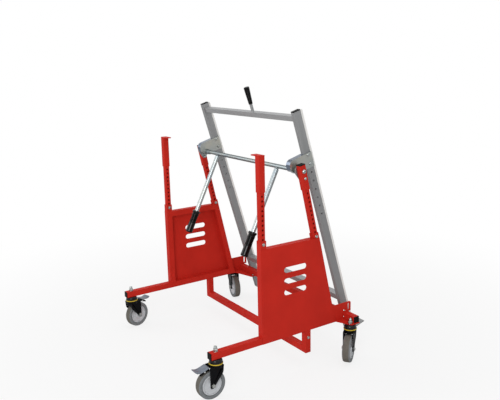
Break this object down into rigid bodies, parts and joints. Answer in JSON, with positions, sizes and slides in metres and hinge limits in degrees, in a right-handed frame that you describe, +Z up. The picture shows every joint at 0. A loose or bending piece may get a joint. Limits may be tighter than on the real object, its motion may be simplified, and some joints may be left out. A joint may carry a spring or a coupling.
{
  "type": "sheet goods cart",
  "caption": "Rolling cart for sheet goods: side frames on swivel casters, height-adjustable posts and a tilting frame that leans back for loading and swings up towards level.",
  "frame": {"origin": "on the floor, under the middle of the overall box", "axes": "+Z up; -Y is the front, where the operator stands; +Y is the rear, where the sheet leans; +X is the right side"},
  "size_m": [1.1512, 1.004, 1.283],
  "materials": {
    "red_paint": "smooth red powder coat, satin gloss",
    "grey_paint": "smooth metallic grey coat, satin",
    "zinc": "bright zinc plating",
    "black_plastic": "moulded, fine grain",
    "black_rubber": "soft ribbed grip",
    "white_plastic": "smooth sliding strip",
    "black_fork": "black coat, semi-gloss",
    "tyre_grey": "grey rubber tread, dull",
    "hub_grey": "moulded light grey",
    "pedal_grey": "pressed and zinc plated, dull"
  },
  "bodies": {
    "frame": {"rear_crossbeam": "red_paint", "lower_u_frame": "red_paint", "side_frame_left": "red_paint", "side_panel_left": "red_paint", "corner_bracket_left": "red_paint", "front_lock_bolt_left": "zinc", "rear_lock_bolt_left": "zinc", "front_rail_cap_left": "black_plastic", "crossbeam_cap_left": "black_plastic", "front_left_caster_stem": "zinc", "rear_left_caster_stem": "zinc", "side_frame_right": "red_paint", "side_panel_right": "red_paint", "corner_bracket_right": "red_paint", "front_lock_bolt_right": "zinc", "rear_lock_bolt_right": "zinc", "front_rail_cap_right": "black_plastic", "crossbeam_cap_right": "black_plastic", "front_right_caster_stem": "zinc", "rear_right_caster_stem": "zinc"},
    "rear_lift": {"pivot_bar": "zinc", "rear_post_left": "red_paint", "rear_post_cap_left": "black_plastic", "pivot_bolt_left": "zinc", "push_handle_left": "zinc", "push_grip_left": "black_rubber", "rear_post_right": "red_paint", "rear_post_cap_right": "black_plastic", "pivot_bolt_right": "zinc", "push_handle_right": "zinc", "push_grip_right": "black_rubber"},
    "tilt_frame": {"upper_cross_tube": "grey_paint", "lower_cross_tube": "grey_paint", "tilt_handle_grip": "black_rubber", "tilt_rail_left": "grey_paint", "rail_cap_left": "black_plastic", "wear_strip_left": "white_plastic", "pivot_bracket_left": "zinc", "sheet_rest_left": "grey_paint", "tilt_rail_right": "grey_paint", "rail_cap_right": "black_plastic", "wear_strip_right": "white_plastic", "pivot_bracket_right": "zinc", "sheet_rest_right": "grey_paint"},
    "front_post_left": {"front_post_left": "red_paint"},
    "front_post_right": {"front_post_right": "red_paint"},
    "front_left_fork": {"front_left_caster_fork": "black_fork"},
    "front_left_wheel": {"front_left_wheel_hub": "hub_grey", "front_left_tyre": "tyre_grey"},
    "front_left_pedal": {"front_left_brake_pedal": "pedal_grey"},
    "front_right_fork": {"front_right_caster_fork": "black_fork"},
    "front_right_wheel": {"front_right_wheel_hub": "hub_grey", "front_right_tyre": "tyre_grey"},
    "front_right_pedal": {"front_right_brake_pedal": "pedal_grey"},
    "rear_left_fork": {"rear_left_caster_fork": "black_fork"},
    "rear_left_wheel": {"rear_left_wheel_hub": "hub_grey", "rear_left_tyre": "tyre_grey"},
    "rear_right_fork": {"rear_right_caster_fork": "black_fork"},
    "rear_right_wheel": {"rear_right_wheel_hub": "hub_grey", "rear_right_tyre": "tyre_grey"}
  },
  "joints": [
    {"name": "rear_post_lift", "type": "slide", "parent": "frame", "child": "rear_lift", "axis": [0, -0.2224, 0.975], "range_m": [0, 0.063]},
    {"name": "tilt", "type": "hinge", "parent": "rear_lift", "child": "tilt_frame", "pos_m": [-0.01471, 0.08648, 0.92383], "axis": [1, 0, 0], "range_deg": [0, 62]},
    {"name": "front_post_left_lift", "type": "slide", "parent": "frame", "child": "front_post_left", "axis": [0, 0, 1], "range_m": [-0.21, 0.063]},
    {"name": "front_post_right_lift", "type": "slide", "parent": "frame", "child": "front_post_right", "axis": [0, 0, 1], "range_m": [-0.21, 0.063]},
    {"name": "front_left_swivel", "type": "hinge", "parent": "frame", "child": "front_left_fork", "pos_m": [-0.46221, -0.3812, 0.175], "axis": [0, 0, 1], "continuous": true},
    {"name": "front_left_roll", "type": "hinge", "parent": "front_left_fork", "child": "front_left_wheel", "pos_m": [-0.47098, -0.35251, 0.065], "axis": [-0.9563, -0.2924, 0], "continuous": true},
    {"name": "front_left_brake", "type": "hinge", "parent": "front_left_fork", "child": "front_left_pedal", "pos_m": [-0.48033, -0.32191, 0.134], "axis": [-0.9563, -0.2924, 0], "range_deg": [0, 10]},
    {"name": "front_right_swivel", "type": "hinge", "parent": "frame", "child": "front_right_fork", "pos_m": [0.43279, -0.3812, 0.175], "axis": [0, 0, 1], "continuous": true},
    {"name": "front_right_roll", "type": "hinge", "parent": "front_right_fork", "child": "front_right_wheel", "pos_m": [0.43279, -0.4112, 0.065], "axis": [1, 0, 0], "continuous": true},
    {"name": "front_right_brake", "type": "hinge", "parent": "front_right_fork", "child": "front_right_pedal", "pos_m": [0.43279, -0.4432, 0.134], "axis": [1, 0, 0], "range_deg": [0, 10]},
    {"name": "rear_left_swivel", "type": "hinge", "parent": "frame", "child": "rear_left_fork", "pos_m": [-0.53921, 0.3118, 0.175], "axis": [0, 0, 1], "continuous": true},
    {"name": "rear_left_roll", "type": "hinge", "parent": "rear_left_fork", "child": "rear_left_wheel", "pos_m": [-0.5101, 0.30454, 0.065], "axis": [0.2419, 0.9703, 0], "continuous": true},
    {"name": "rear_right_swivel", "type": "hinge", "parent": "frame", "child": "rear_right_fork", "pos_m": [0.50979, 0.3118, 0.175], "axis": [0, 0, 1], "continuous": true},
    {"name": "rear_right_roll", "type": "hinge", "parent": "rear_right_fork", "child": "rear_right_wheel", "pos_m": [0.527, 0.28722, 0.065], "axis": [0.8192, 0.5736, 0], "continuous": true}
  ]
}
